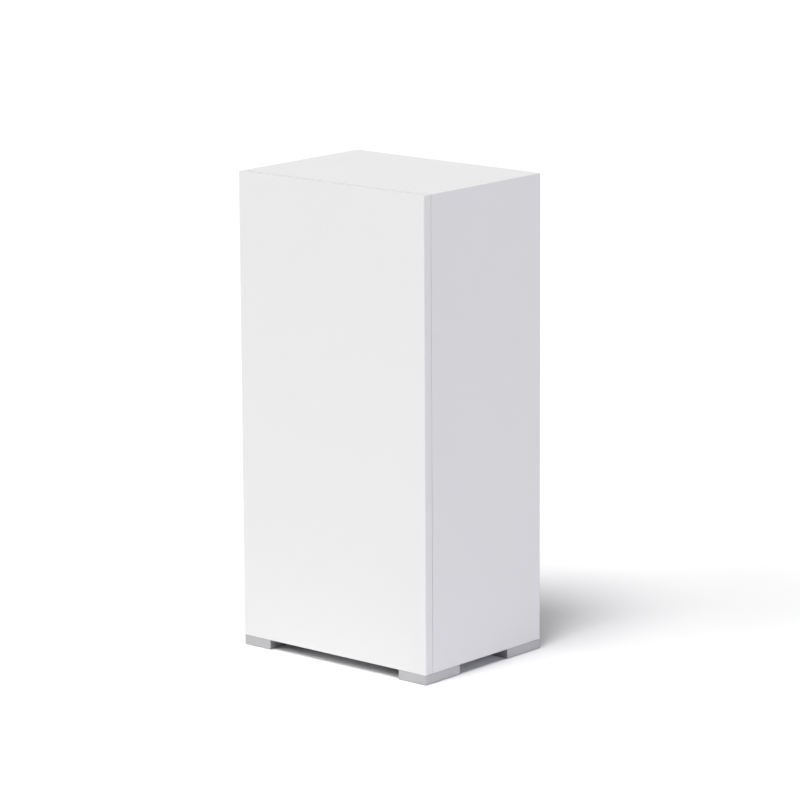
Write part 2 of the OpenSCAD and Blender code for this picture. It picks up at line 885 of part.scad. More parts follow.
// Flat cable from the button board to the main board
module flat_cable() color("ivory") {
  t = 0.3;
  low = control_z + 4;
  high = low + 10;
  bend = 3;
  a = board_back;
  b = button_board_y[0];
  mid = (a + b) / 2;
  translate([-5, 0, 0])
    rotate([90, 0, 90])
      linear_extrude(10) {
        polygon([[a, high], [mid - bend, high], [mid + bend, low], [b, low],
                 [b, low + t], [mid + bend + t / 2, low + t], [mid - bend + t / 2, high + t], [a, high + t]]);
      }
}

front_cover();
rear_housing();
base_plate();
foot(-1, -1);  // foot_front_left
foot(1, -1);  // foot_front_right
foot(-1, 1);  // foot_rear_left
foot(1, 1);  // foot_rear_right
foot_pads();
foot_screws();
blank_label();
inner_frame();
frame_screws();
main_board();
board_screws();
processor();
memory_chips();
flash_chip();
thermal_pads();
radio_chips();
radio_shield(radio_z[1]);  // radio_shield_upper
radio_shield(radio_z[0]);  // radio_shield_lower
heatsink_front();
heatsink_rear();
heatsink_screws();
antenna(-1, 1);  // antenna_left_upper
antenna(-1, 0);  // antenna_left_lower
antenna(1, 1);  // antenna_right_upper
antenna(1, 0);  // antenna_right_lower
coax(-1, 1);  // coax_left_upper
coax(-1, 0);  // coax_left_lower
coax(1, 1);  // coax_right_upper
coax(1, 0);  // coax_right_lower
coax_plugs();
io_board();
io_board_screws();
board_connector();
network_transformers();
capacitors();
inductors();
jack_shield(jack_x[0]);  // wan_jack_shield
jack_insert(jack_x[0]);  // wan_jack_insert
jack_contacts(jack_x[0]);  // wan_jack_contacts
jack_shield(jack_x[1]);  // lan_jack_shield
jack_insert(jack_x[1]);  // lan_jack_insert
jack_contacts(jack_x[1]);  // lan_jack_contacts
power_socket_shell();
power_socket_tongue();
power_switch_body();
power_rocker();
button_board();
button_board_screws();
tact_switch(0, button_travel);  // sync_switch
tact_plunger(0);  // sync_switch_plunger
sync_button();
tact_switch(reset_x, reset_travel);  // reset_switch
tact_plunger(reset_x);  // reset_switch_plunger
status_led();
light_pipe();
flat_cable();
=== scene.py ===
"""Looks of the mesh wifi node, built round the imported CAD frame.

Everything is in metres in the CAD frame: +Z up, front panel towards -Y, and the origin on the surface
below the block.
"""
import json
import math

import bmesh
import bpy
from mathutils import Matrix, Vector


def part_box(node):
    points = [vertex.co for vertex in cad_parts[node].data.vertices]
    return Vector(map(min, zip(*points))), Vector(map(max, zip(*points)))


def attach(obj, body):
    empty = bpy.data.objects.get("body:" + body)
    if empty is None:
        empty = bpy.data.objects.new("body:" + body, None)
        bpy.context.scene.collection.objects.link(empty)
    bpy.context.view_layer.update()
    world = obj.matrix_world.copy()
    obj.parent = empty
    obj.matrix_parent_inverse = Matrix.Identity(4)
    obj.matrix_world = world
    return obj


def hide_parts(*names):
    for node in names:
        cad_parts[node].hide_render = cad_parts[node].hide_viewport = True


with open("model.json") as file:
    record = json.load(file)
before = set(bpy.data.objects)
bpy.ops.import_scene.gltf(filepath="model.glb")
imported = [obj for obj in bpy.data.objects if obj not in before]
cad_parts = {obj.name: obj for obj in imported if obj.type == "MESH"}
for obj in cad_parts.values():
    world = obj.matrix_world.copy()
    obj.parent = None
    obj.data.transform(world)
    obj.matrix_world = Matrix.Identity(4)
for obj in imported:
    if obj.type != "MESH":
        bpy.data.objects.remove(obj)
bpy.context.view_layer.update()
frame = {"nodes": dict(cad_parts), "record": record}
nodes = frame["nodes"]
MM = 0.001

# The white block without its feet
BODY_LOW, BODY_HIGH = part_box("front_cover")[0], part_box("rear_housing")[1]
FOOT_H = BODY_LOW.z
BODY_H = BODY_HIGH.z - FOOT_H


# Camera -----------------------------------------------------------------------------------------

# Direction from the block to the camera, the camera's tilt about its own axis, its lens in millimetres
# and its distance
VIEW_AZIMUTH = math.radians(40.83)
VIEW_ELEVATION = math.radians(12.18)
VIEW_ROLL = math.radians(-0.333)
VIEW_LENS = 190.0
VIEW_DISTANCE = 8.887 * BODY_H
# How far the middle of the picture lies right of and above the middle of the white block
AIM_RIGHT = 0.0197 * BODY_H
AIM_UP = 0.0144 * BODY_H


def direction(azimuth, elevation):
    """Unit vector from the block towards a place seen at this azimuth (0 is in front) and elevation."""
    level = math.cos(elevation)
    return Vector((math.sin(azimuth) * level, -math.cos(azimuth) * level, math.sin(elevation)))


def make_camera():
    back = direction(VIEW_AZIMUTH, VIEW_ELEVATION)
    right = Vector((0, 0, 1)).cross(back).normalized()
    up = back.cross(right)
    turned = Matrix((right, up, back)).transposed() @ Matrix.Rotation(VIEW_ROLL, 3, "Z")
    data = bpy.data.cameras.new("camera")
    data.lens = VIEW_LENS
    data.clip_start = 10 * MM
    data.clip_end = 50
    camera = bpy.data.objects.new("camera", data)
    middle = Vector((0, 0, FOOT_H + BODY_H / 2))
    place = middle + right * AIM_RIGHT + up * AIM_UP + back * VIEW_DISTANCE
    camera.matrix_world = Matrix.Translation(place) @ turned.to_4x4()
    bpy.context.scene.collection.objects.link(camera)
    bpy.context.scene.camera = camera


# Studio -----------------------------------------------------------------------------------------

# Soft distant lights: name, azimuth and elevation in degrees, strength, colour, width in degrees
LIGHTS = (
    ("key", 14, 66, 1.90, (1.0, 1.0, 0.985), 24),
    ("overhead", 0, 77, 0.49, (1.0, 1.0, 1.0), 22),
    ("front", -14, 42, 0.41, (1.0, 1.0, 1.0), 22),
    ("front_left", -32, 40, 0.57, (1.0, 1.0, 1.0), 30),
    ("right", 75, 20, 0.81, (0.975, 0.98, 1.18), 30),
    ("left", -95, 20, 0.15, (1.0, 1.0, 1.0), 30),
    ("rear_left", -131, 32, 0.36, (1.0, 1.0, 1.0), 30),
    ("rear", 180, 30, 0.25, (1.0, 1.0, 1.0), 40),
)
AMBIENT = 0.01


def make_light(name, azimuth, elevation, strength, colour, width):
    away = direction(math.radians(azimuth), math.radians(elevation))
    data = bpy.data.lights.new(name, "SUN")
    data.energy = strength
    data.color = colour
    data.angle = math.radians(width)
    light = bpy.data.objects.new(name, data)
    light.rotation_mode = "QUATERNION"
    light.rotation_quaternion = away.to_track_quat("Z", "Y")
    light.location = away
    bpy.context.scene.collection.objects.link(light)


def make_world():
    """A faint even light on the object, and plain white where the camera sees past the floor."""
    world = bpy.data.worlds.new("studio")
    world.use_nodes = True
    tree = world.node_tree
    sky = tree.nodes["Background"]
    sky.inputs["Strength"].default_value = AMBIENT
    sky.inputs["Color"].default_value = (1, 1, 1, 1)
    white = tree.nodes.new("ShaderNodeBackground")
    white.inputs["Color"].default_value = (1, 1, 1, 1)
    rays = tree.nodes.new("ShaderNodeLightPath")
    choose = tree.nodes.new("ShaderNodeMixShader")
    tree.links.new(rays.outputs["Is Camera Ray"], choose.inputs["Fac"])
    tree.links.new(sky.outputs[0], choose.inputs[1])
    tree.links.new(white.outputs[0], choose.inputs[2])
    tree.links.new(choose.outputs[0], tree.nodes["World Output"].inputs["Surface"])
    bpy.context.scene.world = world


def make_floor():
    half = 6.0
    corners = [(-half, -half, 0), (half, -half, 0), (half, half, 0), (-half, half, 0)]
    mesh = bpy.data.meshes.new("floor")
    mesh.from_pydata(corners, [], [(0, 1, 2, 3)])
    floor = bpy.data.objects.new("floor", mesh)
    bpy.context.scene.collection.objects.link(floor)
    mesh.materials.append(floor_material())


# Material kit -----------------------------------------------------------------------------------

class Shader:
    """A material under construction, with short calls for the nodes that the finishes share."""

    def __init__(self, name, colour, roughness, metallic=0.0):
        self.material = bpy.data.materials.new(name)
        self.material.use_nodes = True
        self.tree = self.material.node_tree
        self.shader = self.tree.nodes["Principled BSDF"]
        self.colour = colour
        self.material.diffuse_color = (*colour, 1)
        self.set("Base Color", (*colour, 1))
        self.set("Roughness", roughness)
        self.set("Metallic", metallic)

    def set(self, socket, value):
        self.shader.inputs[socket].default_value = value

    def drive(self, socket, output):
        self.link(output, self.shader.inputs[socket])

    def link(self, output, target):
        self.tree.links.new(output, target)

    def node(self, kind, **values):
        made = self.tree.nodes.new(kind)
        for key, value in values.items():
            setattr(made, key, value)
        return made

    def place(self, stretch=(1, 1, 1)):
        """Object coordinates in metres, stretched along each axis."""
        source = self.node("ShaderNodeTexCoord")
        mapping = self.node("ShaderNodeMapping")
        mapping.inputs["Scale"].default_value = stretch
        self.link(source.outputs["Object"], mapping.inputs["Vector"])
        return mapping.outputs["Vector"]

    def noise(self, scale, detail=2.0, stretch=(1, 1, 1)):
        made = self.node("ShaderNodeTexNoise")
        made.inputs["Scale"].default_value = scale
        made.inputs["Detail"].default_value = detail
        self.link(self.place(stretch), made.inputs["Vector"])
        return made.outputs["Fac"]

    def cells(self, scale, metric="EUCLIDEAN", output="Distance", stretch=(1, 1, 1)):
        made = self.node("ShaderNodeTexVoronoi", distance=metric)
        made.inputs["Scale"].default_value = scale
        self.link(self.place(stretch), made.inputs["Vector"])
        return made.outputs[output]

    def stripes(self, axis, pitch):
        """A wave from 0 to 1 with this pitch in metres along X, Y or Z."""
        made = self.node("ShaderNodeTexWave", wave_type="BANDS", bands_direction=axis, wave_profile="SIN")
        made.inputs["Scale"].default_value = math.pi / 10 / pitch
        self.link(self.place(), made.inputs["Vector"])
        return made.outputs["Fac"]

    def facing(self, axis):
        """How far the surface faces along an axis of the frame, from -1 to 1."""
        source = self.node("ShaderNodeNewGeometry")
        split = self.node("ShaderNodeSeparateXYZ")
        self.link(source.outputs["Normal"], split.inputs["Vector"])
        return split.outputs[axis]

    def outward(self, axis):
        """How far the surface faces away from the middle of the block along an axis, from -1 to 1."""
        split = self.node("ShaderNodeSeparateXYZ")
        self.link(self.place(), split.inputs["Vector"])
        return self.math("MULTIPLY", self.math("SIGN", split.outputs[axis], 0), self.facing(axis))

    def math(self, operation, a, b):
        made = self.node("ShaderNodeMath", operation=operation)
        for socket, value in zip(made.inputs, (a, b)):
            if isinstance(value, (int, float)):
                socket.default_value = value
            else:
                self.link(value, socket)
        return made.outputs["Value"]

    def ramp(self, value, low, high, from_low=0.3, from_high=0.7):
        made = self.node("ShaderNodeMapRange")
        made.inputs["From Min"].default_value = from_low
        made.inputs["From Max"].default_value = from_high
        made.inputs["To Min"].default_value = low
        made.inputs["To Max"].default_value = high
        self.link(value, made.inputs["Value"])
        return made.outputs["Result"]

    def mix(self, factor, low, high):
        """A colour between low and high, each a colour or another node's output."""
        made = self.node("ShaderNodeMix", data_type="RGBA")
        for socket, value in ((made.inputs["A"], low), (made.inputs["B"], high)):
            if isinstance(value, tuple):
                socket.default_value = (*value, 1)
            else:
                self.link(value, socket)
        self.link(factor, made.inputs["Factor"])
        return made.outputs["Result"]

    def drifting(self, scale, amount):
        """The base colour, drifting a small share either way over a large scale."""
        low = tuple(c * (1 - amount) for c in self.colour)
        high = tuple(min(1, c * (1 + amount)) for c in self.colour)
        return self.mix(self.ramp(self.noise(scale), 0, 1), low, high)

    def vary_roughness(self, scale, low, high, stretch=(1, 1, 1)):
        self.drive("Roughness", self.ramp(self.noise(scale, 3.0, stretch), low, high))

    def bump(self, height, depth):
        """Relief of the given depth in metres."""
        made = self.node("ShaderNodeBump")
        made.inputs["Distance"].default_value = depth
        self.link(height, made.inputs["Height"])
        self.drive("Normal", made.outputs["Normal"])


# Materials --------------------------------------------------------------------------------------

WHITE = (0.762, 0.760, 0.757)
BLACK = (0.016, 0.016, 0.017)
GOLD = (0.83, 0.58, 0.20)

# Moulded plastics: colour, roughness, scale and depth of the grain, drift of the colour, and shine
MOULDED = {
    "cover_white": (WHITE, 0.65, 4000, 0.004 * MM, 0.004, 0.3),
    "housing_white": (WHITE, 0.65, 4000, 0.004 * MM, 0.004, 0.3),
    "base_grey": ((0.30, 0.30, 0.305), 0.6, 2200, 0.012 * MM, 0.02, 0.5),
    "pad_rubber": ((0.028, 0.028, 0.028), 0.8, 2500, 0.015 * MM, 0.02, 0.5),
    "label_film": ((0.60, 0.60, 0.61), 0.28, 1500, 0.002 * MM, 0.02, 0.5),
    "frame_grey": ((0.055, 0.055, 0.058), 0.5, 2500, 0.01 * MM, 0.08, 0.5),
    "chip_black": ((0.018, 0.018, 0.019), 0.55, 5000, 0.006 * MM, 0.1, 0.5),
    "coax_jacket": ((0.09, 0.09, 0.095), 0.32, 1500, 0.003 * MM, 0.06, 0.5),
    "connector_ivory": ((0.56, 0.52, 0.40), 0.45, 4000, 0.004 * MM, 0.02, 0.5),
    "ferrite": ((0.024, 0.024, 0.026), 0.5, 1800, 0.03 * MM, 0.15, 0.5),
    "socket_black": (BLACK, 0.42, 3500, 0.006 * MM, 0.08, 0.5),
    "rocker_black": ((0.018, 0.018, 0.019), 0.3, 3500, 0.003 * MM, 0.06, 0.5),
    "button_grey": ((0.40, 0.40, 0.41), 0.36, 4000, 0.003 * MM, 0.02, 0.5),
    "plunger_grey": ((0.075, 0.075, 0.08), 0.45, 4000, 0.004 * MM, 0.02, 0.5),
}

# Metals: colour, roughness, scale of the grain along X, Y and Z, and its depth
METALS = {
    "screw_steel": ((0.60, 0.60, 0.61), 0.27, (1, 1, 1), 0.002 * MM),
    "can_steel": ((0.66, 0.65, 0.63), 0.30, (1, 1, 1), 0.002 * MM),
    "sink_aluminium": ((0.72, 0.72, 0.73), 0.34, (1, 1, 0.02), 0.004 * MM),
    "gold_plate": (GOLD, 0.24, (1, 1, 1), 0.002 * MM),
}


def floor_material():
    s = Shader("floor_white", (0.97, 0.97, 0.97), 0.9)
    s.set("Specular IOR Level", 0.1)
    return s.material


def moulded(name, colour, roughness, grain, depth, drift, shine):
    """Moulded plastic: a fine eroded grain, with colour and gloss that drift a little."""
    s = Shader(name, colour, roughness)
    s.set("Specular IOR Level", shine)
    s.drive("Base Color", s.drifting(35, drift))
    s.vary_roughness(60, roughness * 0.93, roughness * 1.07)
    s.bump(s.noise(grain, 3.0), depth)
    return s.material


def metal(name, colour, roughness, brush, depth):
    """Metal with a fine grain, drawn out along the axes where brush is small."""
    s = Shader(name, colour, roughness, 1.0)
    s.drive("Base Color", s.drifting(120, 0.04))
    s.vary_roughness(400, roughness * 0.75, roughness * 1.3, brush)
    s.bump(s.noise(1500, 2.0, brush), depth)
    return s.material


def circuit_board():
    """Solder mask over copper: patches of parallel traces with tinned vias between them."""
    mask, over_copper, tin = (0.006, 0.060, 0.022), (0.016, 0.120, 0.045), (0.62, 0.60, 0.55)
    patches_per_metre, vias_per_metre, via_share = 110, 330, 0.11
    trace_pitch, bare_share = 0.9 * MM, 0.3
    s = Shader("board_green", mask, 0.32)
    patch = s.cells(patches_per_metre, "CHEBYCHEV", "Color")
    split = s.node("ShaderNodeSeparateColor")
    s.link(patch, split.inputs["Color"])
    turn, routing = split.outputs[0], split.outputs[1]
    lines = [s.ramp(s.stripes(axis, trace_pitch), 0, 1, 0.55, 0.7) for axis in ("X", "Z", "Y")]
    across = s.math("MULTIPLY", lines[0], s.math("GREATER_THAN", turn, 0.5))
    lengthways = s.math("MAXIMUM", lines[1], lines[2])
    along = s.math("MULTIPLY", lengthways, s.math("LESS_THAN", turn, 0.5))
    traces = s.math("MAXIMUM", across, along)
    routed = s.math("MULTIPLY", traces, s.math("GREATER_THAN", routing, bare_share))
    vias = s.math("LESS_THAN", s.cells(vias_per_metre), via_share)
    s.drive("Base Color", s.mix(vias, s.mix(routed, mask, over_copper), tin))
    s.drive("Metallic", vias)
    s.vary_roughness(200, 0.26, 0.38)
    s.bump(s.math("MAXIMUM", routed, vias), 0.02 * MM)
    return s.material


def antenna_board():
    """A dark board with the bright meander of a printed antenna."""
    mask, copper = (0.055, 0.065, 0.020), (0.48, 0.27, 0.11)
    bar_pitch = 5 * MM
    s = Shader("antenna_board", mask, 0.35)
    bars = s.math("GREATER_THAN", s.stripes("Z", bar_pitch), 0.55)
    s.drive("Base Color", s.mix(bars, s.drifting(80, 0.1), copper))
    s.vary_roughness(200, 0.28, 0.4)
    s.bump(bars, 0.03 * MM)
    return s.material


def capacitor_sleeve():
    """Shrink sleeve on the side of a capacitor, bare aluminium on its top."""
    sleeve, aluminium = (0.018, 0.022, 0.075), (0.75, 0.75, 0.76)
    s = Shader("capacitor_sleeve", sleeve, 0.3)
    top = s.math("GREATER_THAN", s.facing("Z"), 0.8)
    s.drive("Base Color", s.mix(top, s.drifting(300, 0.08), aluminium))
    s.drive("Metallic", top)
    s.vary_roughness(500, 0.22, 0.36)
    s.bump(s.noise(1200), 0.004 * MM)
    return s.material


def contact_tongue():
    """The tongue of the power socket, with rows of flat gold contacts above and below."""
    contact_pitch = 0.5 * MM
    s = Shader("contact_tongue", BLACK, 0.4)
    rows = s.math("GREATER_THAN", s.stripes("X", contact_pitch), 0.5)
    flat = s.math("GREATER_THAN", s.math("ABSOLUTE", s.facing("Z"), 0), 0.8)
    gold = s.math("MULTIPLY", rows, flat)
    s.drive("Base Color", s.mix(gold, s.drifting(300, 0.05), GOLD))
    s.drive("Metallic", gold)
    s.vary_roughness(800, 0.28, 0.45)
    s.bump(gold, 0.01 * MM)
    return s.material


def light_guide():
    """Clear acrylic with a lightly frosted end."""
    s = Shader("light_guide", (0.93, 0.95, 0.96), 0.15)
    s.set("Transmission Weight", 0.5)
    s.set("IOR", 1.49)
    s.vary_roughness(900, 0.12, 0.28)
    s.bump(s.noise(2500), 0.003 * MM)
    return s.material


def foot_silver_with_painted_shade():
    """Silver paint on the outward faces of a foot, and a darker grey as painted shade on the faces turned
    inwards or down, where shade falls under the block.
    """
    # The second colour is painted shade for the foot's inward and downward faces, not a colour the foot
    # has.
    silver, bare = (0.475, 0.475, 0.485), (0.22, 0.215, 0.23)
    s = Shader("foot_silver", silver, 0.4)
    # Faces turned in towards the middle of the block or down, where shade falls under the block, get the
    # painted shade.
    inward_x = s.math("LESS_THAN", s.outward("X"), -0.5)
    inward_y = s.math("LESS_THAN", s.outward("Y"), -0.5)
    downward = s.math("LESS_THAN", s.facing("Z"), -0.5)
    shade_faces = s.math("MAXIMUM", s.math("MAXIMUM", inward_x, inward_y), downward)
    silver_faces = s.math("SUBTRACT", 1, shade_faces)
    s.drive("Base Color", s.mix(silver_faces, bare, s.drifting(60, 0.015)))
    s.drive("Metallic", s.math("MULTIPLY", silver_faces, 0.6))
    s.vary_roughness(90, 0.36, 0.44)
    s.bump(s.noise(3500, 3.0), 0.003 * MM)
    return s.material


def led_package():
    """White package with the yellow phosphor of a white light in its middle."""
    package, phosphor = (0.85, 0.84, 0.80), (0.80, 0.62, 0.12)
    s = Shader("led_package", package, 0.3)
    dot = s.math("GREATER_THAN", s.facing("Y"), 0.8)
    s.drive("Base Color", s.mix(dot, s.drifting(500, 0.03), phosphor))
    s.vary_roughness(800, 0.22, 0.35)
    s.bump(s.noise(3000), 0.003 * MM)
    return s.material


def flat_ribbon():
    """White film with the faint stripes of the conductors inside it."""
    film, conductor = (0.80, 0.80, 0.77), (0.62, 0.61, 0.57)
    wire_pitch = 0.5 * MM
    s = Shader("flat_ribbon", film, 0.35)
    wires = s.ramp(s.stripes("X", wire_pitch), 0, 1, 0.4, 0.6)
    s.drive("Base Color", s.mix(wires, s.drifting(200, 0.03), conductor))
    s.vary_roughness(300, 0.28, 0.42)
    s.bump(wires, 0.02 * MM)
    return s.material


def silicone_pad():
    s = Shader("silicone_pad", (0.20, 0.32, 0.50), 0.75)
    s.drive("Base Color", s.drifting(600, 0.06))
    s.vary_roughness(900, 0.65, 0.85)
    s.bump(s.noise(1500, 4.0), 0.02 * MM)
    return s.material


def build_materials():
    """One finish for each material slot of the record, and one for the tongue of the power socket."""
    made = {name: moulded(name, *finish) for name, finish in MOULDED.items()}
    made.update({name: metal(name, *finish) for name, finish in METALS.items()})
    made.update({
        "foot_silver": foot_silver_with_painted_shade(),
        "board_green": circuit_board(),
        "gap_pad": silicone_pad(),
        "antenna_board": antenna_board(),
        "can_sleeve": capacitor_sleeve(),
        "contact_tongue": contact_tongue(),
        "led_package": led_package(),
        "light_guide": light_guide(),
        "ribbon_white": flat_ribbon(),
    })
    return made


# Mesh kit ---------------------------------------------------------------------------------------

FLAT_ANGLE = math.radians(0.8)
EDGE_ANGLE = math.radians(32)


def slot_of(node):
    return next(row["material_slot"] for row in frame["record"]["subparts"] if row["node"] == node)


def body_of(node):
    groups = frame["record"]["behaviour"]["bodies"]
    return next(body for body, members in groups.items() if node in members)


def clean_mesh(node):
    """The node's mesh with shared corners joined and its flat faces merged."""
    bm = bmesh.new()
    bm.from_mesh(nodes[node].data)
    bmesh.ops.remove_doubles(bm, verts=bm.verts, dist=0.001 * MM)
    bmesh.ops.dissolve_limit(bm, angle_limit=FLAT_ANGLE, verts=bm.verts, edges=bm.edges,
                             use_dissolve_boundaries=False)
    return bm


def sharp_edges(bm):
    return [e for e in bm.edges if len(e.link_faces) == 2 and e.calc_face_angle(0) > EDGE_ANGLE]


def round_edges(bm, edges, radius, segments):
    bmesh.ops.bevel(bm, geom=edges, offset=radius, segments=segments, profile=0.5,
                    affect="EDGES", clamp_overlap=True, offset_type="OFFSET")


def keep_inside(bm, node):
    """Moves corners that rounding pushed a hair outside the node's box back onto it."""
    low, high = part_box(node)
    for vert in bm.verts:
        vert.co = [min(max(c, a), b) for c, a, b in zip(vert.co, low, high)]


def finish_piece(bm, name, node, finish=None):
    """Turns the mesh into a piece that stands for the CAD node and shades evenly over flats and edges."""
    mesh = bpy.data.meshes.new(name)
    bm.to_mesh(mesh)
    bm.free()
    for face in mesh.polygons:
        face.use_smooth = True
    mesh.set_sharp_from_angle(angle=EDGE_ANGLE)
    mesh.materials.append(materials[finish or slot_of(node)])
    piece = bpy.data.objects.new(name, mesh)
    bpy.context.scene.collection.objects.link(piece)
    even = piece.modifiers.new("even_shading", "WEIGHTED_NORMAL")
    even.keep_sharp = True
    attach(piece, body_of(node))
    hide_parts(node)
    return piece


def rounded(node, radius, segments=2, first=None, finish=None):
    """Replaces a CAD node by a copy with round edges.

    first gives (test, radius) for edges with a radius of their own.
    """
    bm = clean_mesh(node)
    if first:
        test, own_radius = first
        round_edges(bm, [e for e in sharp_edges(bm) if test(e)], own_radius, 5)
    round_edges(bm, sharp_edges(bm), radius, segments)
    keep_inside(bm, node)
    return finish_piece(bm, node + "_finished", node, finish)


def solids_of(node):
    """Lowest and highest corner of each separate solid in a CAD node."""
    bm = clean_mesh(node)
    waiting, boxes = set(bm.verts), []
    while waiting:
        found, queue = [], [waiting.pop()]
        while queue:
            vert = queue.pop()
            found.append(vert.co)
            for edge in vert.link_edges:
                other = edge.other_vert(vert)
                if other in waiting:
                    waiting.remove(other)
                    queue.append(other)
        boxes.append((Vector(map(min, zip(*found))), Vector(map(max, zip(*found)))))
    bm.free()
    return sorted(boxes, key=lambda box: tuple(box[0]))


def curve_through(points, steps):
    """Points of a smooth curve through the given ones, with this many steps from each to the next."""
    points = [Vector(p) for p in points]
    last = len(points) - 1
    made = []
    for i in range(last):
        a, b, c, d = points[max(i - 1, 0)], points[i], points[i + 1], points[min(i + 2, last)]
        for k in range(steps):
            t = k / steps
            made.append(0.5 * (2 * b + (c - a) * t + (2 * a - 5 * b + 4 * c - d) * t * t
                               + (3 * b - a - 3 * c + d) * t ** 3))
    return made + [points[last]]


def join_rings(bm, rings, closed=True):
    """Skins a row of rings of corners. A ring of one corner closes to a point."""
    for a, b in zip(rings, rings[1:]):
        count = max(len(a), len(b))
        for k in range(count if closed else count - 1):
            n = (k + 1) % count
            corners = [a[k % len(a)], a[n % len(a)], b[n % len(b)], b[k % len(b)]]
            unique = list(dict.fromkeys(corners))
            if len(unique) > 2:
                bm.faces.new(unique)


def add_turned(bm, profile, centre, axis="Z", sides=64):
    """Adds a turned shape. The profile gives (radius, place along the axis), from axis to axis."""
    rings = []
    for radius, along in profile:
        ring = []
        for k in range(sides if radius else 1):
            angle = 2 * math.pi * k / sides
            u, v = radius * math.cos(angle), radius * math.sin(angle)
            if axis == "Z":
                place = (centre[0] + u, centre[1] + v, along)
            else:
                place = (centre[0] + u, along, centre[2] + v)
            ring.append(bm.verts.new(place))
        rings.append(ring)
    join_rings(bm, rings)


def add_swept(bm, path, outline):
    """Adds a closed shape whose outline, in (sideways, upwards), is carried along the path."""
    path = [Vector(p) for p in path]
    rings = []
    side = None
    for i, point in enumerate(path):
        ahead = (path[min(i + 1, len(path) - 1)] - path[max(i - 1, 0)]).normalized()
        if side is None:
            side = ahead.cross(Vector((0, 0, 1)) if abs(ahead.z) < 0.9 else Vector((1, 0, 0)))
        side = (side - ahead * side.dot(ahead)).normalized()
        up = side.cross(ahead)
        rings.append([bm.verts.new(point + side * u + up * v) for u, v in outline])
    join_rings(bm, rings)
    bm.faces.new(list(reversed(rings[0])))
    bm.faces.new(rings[-1])


def disc_outline(radius, sides=12):
    return [(radius * math.cos(2 * math.pi * k / sides), radius * math.sin(2 * math.pi * k / sides))
            for k in range(sides)]


def arc(centre, radius, start, end, steps=6):
    """Points of a profile's round corner. centre is (radius, along), and the angles are in degrees."""
    angles = [math.radians(start + (end - start) * k / steps) for k in range(steps + 1)]
    return [(centre[0] + radius * math.cos(a), centre[1] + radius * math.sin(a)) for a in angles]


def detailed(bm, node, finish=None):
    """Replaces a CAD node by a mesh made from scratch."""
    bmesh.ops.recalc_face_normals(bm, faces=bm.faces)
    return finish_piece(bm, node + "_detailed", node, finish)


def on_outer_box(edge):
    """True for an edge where two outer faces of the white block meet."""
    near = 0.02 * MM
    faces = 0
    for face in edge.link_faces:
        c, n = face.calc_center_median(), face.normal
        faces += abs(n.x) > 0.99 and abs(abs(c.x) - BODY_HIGH.x) < near
        faces += abs(n.y) > 0.99 and abs(abs(c.y) - BODY_HIGH.y) < near
        faces += n.z > 0.99 and abs(c.z - BODY_HIGH.z) < near
    return faces == 2


# Pieces with shapes of their own -----------------------------------------------------------------

def build_sync_button():
    """Turned cap with a dished face, over a retaining flange and a stem."""
    low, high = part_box("sync_button")
    centre = (low + high) / 2
    cap_r, flange_r, stem_r = 4.0 * MM, high.x, 1.6 * MM
    cap_edge, flange_edge, stem_edge = 0.35 * MM, 0.15 * MM, 0.2 * MM
    flange_y = (BODY_HIGH.y - 3.3 * MM, BODY_HIGH.y - 2.5 * MM)
    dish_r, dish, dish_rings = cap_r - 2 * cap_edge, 0.3 * MM, 12
    profile = [(0, low.y)]
    profile += arc((stem_r - stem_edge, low.y + stem_edge), stem_edge, -90, 0)
    profile.append((stem_r, flange_y[0]))
    profile += arc((flange_r - flange_edge, flange_y[0] + flange_edge), flange_edge, -90, 0)
    profile += arc((flange_r - flange_edge, flange_y[1] - flange_edge), flange_edge, 0, 90)
    profile.append((cap_r, flange_y[1]))
    profile += arc((cap_r - cap_edge, high.y - cap_edge), cap_edge, 0, 90)
    for k in range(dish_rings, -1, -1):
        r = dish_r * k / dish_rings
        profile.append((r, high.y - dish * 0.5 * (1 + math.cos(math.pi * r / dish_r))))
    bm = bmesh.new()
    add_turned(bm, profile, centre, "Y", 96)
    detailed(bm, "sync_button")


def build_light_pipe():
    """Clear rod with a domed end, held by a flange inside the back."""
    low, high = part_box("light_pipe")
    centre = (low + high) / 2
    rod_r, flange_r, dome, edge = 1.45 * MM, high.x - centre.x, 0.2 * MM, 0.1 * MM
    flange_y = (BODY_HIGH.y - 3.2 * MM, BODY_HIGH.y - 2.2 * MM)
    profile = [(0, low.y), (rod_r - edge, low.y), (rod_r, low.y + edge), (rod_r, flange_y[0])]
    profile += arc((flange_r - edge, flange_y[0] + edge), edge, -90, 0, 3)
    profile += arc((flange_r - edge, flange_y[1] - edge), edge, 0, 90, 3)
    profile += [(rod_r, flange_y[1]), (rod_r, high.y - dome)]
    profile += [(rod_r * math.cos(a), high.y - dome + dome * math.sin(a))
                for a in (math.radians(15 * k) for k in range(1, 6))]
    profile.append((0, high.y))
    bm = bmesh.new()
    add_turned(bm, profile, centre, "Y", 48)
    detailed(bm, "light_pipe")


def build_foot_pads():
    """Soft discs with round rims and a ring moulded into the underside."""
    bm = bmesh.new()
    for low, high in solids_of("foot_pads"):
        centre = (low + high) / 2
        outer = high.x - centre.x
        rim, groove_r, groove = 0.25 * MM, outer * 0.62, 0.12 * MM
        profile = [(0, low.z), (groove_r - 2 * groove, low.z)]
        profile += [(groove_r - groove, low.z + groove), (groove_r + groove, low.z + groove)]
        profile += [(groove_r + 2 * groove, low.z)] + arc((outer - rim, low.z + rim), rim, -90, 0)
        profile += [(outer, high.z), (0, high.z)]
        add_turned(bm, profile, centre)
    detailed(bm, "foot_pads")


